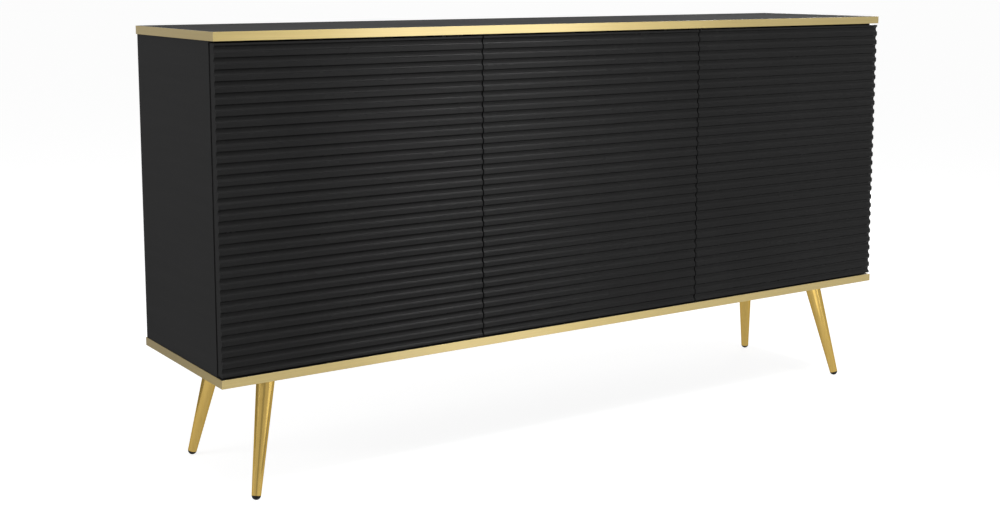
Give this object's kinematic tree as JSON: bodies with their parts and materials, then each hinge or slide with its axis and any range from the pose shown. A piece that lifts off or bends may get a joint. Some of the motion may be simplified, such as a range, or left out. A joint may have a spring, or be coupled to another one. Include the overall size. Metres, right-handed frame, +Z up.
{
  "type": "sideboard buffet",
  "caption": "Long low sideboard with fluted black doors, gold edge bands and splayed gold legs; the doors swing on concealed hinges over shelved compartments.",
  "frame": {"origin": "on the floor, under the middle of the footprint", "axes": "+Z up, +X along the width to the viewer's right when facing the doors, +Y from the doors to the back"},
  "size_m": [1.54, 0.35, 0.797],
  "materials": {
    "black_laminate": "matt black decor laminate on particle board",
    "fluted_black": "satin black foil on milled fibreboard",
    "gold_edge": "satin gold edge band",
    "gold_metal": "gold plated steel tube",
    "black_plastic": "moulded black plastic",
    "fibreboard": "brown hardboard with a dark printed face inside",
    "beech": "plain beech",
    "hinge_steel": "nickel plated pressed steel",
    "screw_steel": "zinc plated",
    "cast_zinc": "die-cast zinc",
    "plate_steel": "black powder coat"
  },
  "bodies": {
    "carcass": {"top_board": "black_laminate", "bottom_board": "black_laminate", "left_side_panel": "black_laminate", "right_side_panel": "black_laminate", "left_divider": "black_laminate", "right_divider": "black_laminate", "left_shelf": "black_laminate", "left_hinge_arms": "hinge_steel", "left_hinge_plates": "hinge_steel", "left_arm_pins": "hinge_steel", "left_latch_housing": "black_plastic", "middle_shelf": "black_laminate", "middle_hinge_arms": "hinge_steel", "middle_hinge_plates": "hinge_steel", "middle_arm_pins": "hinge_steel", "middle_latch_housing": "black_plastic", "right_shelf": "black_laminate", "right_hinge_arms": "hinge_steel", "right_hinge_plates": "hinge_steel", "right_arm_pins": "hinge_steel", "right_latch_housing": "black_plastic", "top_edge_band": "gold_edge", "bottom_edge_band": "gold_edge", "back_panel": "fibreboard", "wood_dowels": "beech", "shelf_pins": "screw_steel", "cam_bolts": "screw_steel", "bottom_screws": "screw_steel", "cam_discs": "cast_zinc", "front_left_leg": "gold_metal", "front_left_leg_plate": "plate_steel", "front_left_glide": "black_plastic", "front_right_leg": "gold_metal", "front_right_leg_plate": "plate_steel", "front_right_glide": "black_plastic", "rear_left_leg": "gold_metal", "rear_left_leg_plate": "plate_steel", "rear_left_glide": "black_plastic", "rear_right_leg": "gold_metal", "rear_right_leg_plate": "plate_steel", "rear_right_glide": "black_plastic"},
    "left_leaf": {"left_door": "fluted_black", "left_hinge_cups": "hinge_steel", "left_cup_pins": "hinge_steel", "left_strike_plate": "screw_steel"},
    "left_links": {"left_hinge_links": "hinge_steel"},
    "left_plunger": {"left_latch_plunger": "black_plastic"},
    "middle_leaf": {"middle_door": "fluted_black", "middle_hinge_cups": "hinge_steel", "middle_cup_pins": "hinge_steel", "middle_strike_plate": "screw_steel"},
    "middle_links": {"middle_hinge_links": "hinge_steel"},
    "middle_plunger": {"middle_latch_plunger": "black_plastic"},
    "right_leaf": {"right_door": "fluted_black", "right_hinge_cups": "hinge_steel", "right_cup_pins": "hinge_steel", "right_strike_plate": "screw_steel"},
    "right_links": {"right_hinge_links": "hinge_steel"},
    "right_plunger": {"right_latch_plunger": "black_plastic"}
  },
  "joints": [
    {"name": "left_link_swing", "type": "hinge", "parent": "carcass", "child": "left_links", "pos_m": [-0.742, -0.149, 0.5045], "axis": [0, 0, 1], "range_deg": [0, 42]},
    {"name": "left_door_swing", "type": "hinge", "parent": "left_links", "child": "left_leaf", "pos_m": [-0.758, -0.1618, 0.5045], "axis": [0, 0, -1], "range_deg": [0, 136.8]},
    {"name": "left_plunger_slide", "type": "slide", "parent": "carcass", "child": "left_plunger", "axis": [0, -1, 0], "range_m": [0, 0.014]},
    {"name": "middle_link_swing", "type": "hinge", "parent": "carcass", "child": "middle_links", "pos_m": [-0.229, -0.149, 0.5045], "axis": [0, 0, 1], "range_deg": [0, 42]},
    {"name": "middle_door_swing", "type": "hinge", "parent": "middle_links", "child": "middle_leaf", "pos_m": [-0.245, -0.1618, 0.5045], "axis": [0, 0, -1], "range_deg": [0, 136.8]},
    {"name": "middle_plunger_slide", "type": "slide", "parent": "carcass", "child": "middle_plunger", "axis": [0, -1, 0], "range_m": [0, 0.014]},
    {"name": "right_link_swing", "type": "hinge", "parent": "carcass", "child": "right_links", "pos_m": [0.742, -0.149, 0.5045], "axis": [0, 0, -1], "range_deg": [0, 42]},
    {"name": "right_door_swing", "type": "hinge", "parent": "right_links", "child": "right_leaf", "pos_m": [0.758, -0.1618, 0.5045], "axis": [0, 0, 1], "range_deg": [0, 136.8]},
    {"name": "right_plunger_slide", "type": "slide", "parent": "carcass", "child": "right_plunger", "axis": [0, -1, 0], "range_m": [0, 0.014]}
  ],
  "couplings": [
    {"joint": "left_link_swing", "follows": "left_door_swing", "ratio": 0.30556},
    {"joint": "left_plunger_slide", "follows": "left_door_swing", "m_per_rad": 0.0058594},
    {"joint": "middle_link_swing", "follows": "middle_door_swing", "ratio": 0.30556},
    {"joint": "middle_plunger_slide", "follows": "middle_door_swing", "m_per_rad": 0.0058594},
    {"joint": "right_link_swing", "follows": "right_door_swing", "ratio": 0.30556},
    {"joint": "right_plunger_slide", "follows": "right_door_swing", "m_per_rad": 0.0058594}
  ]
}
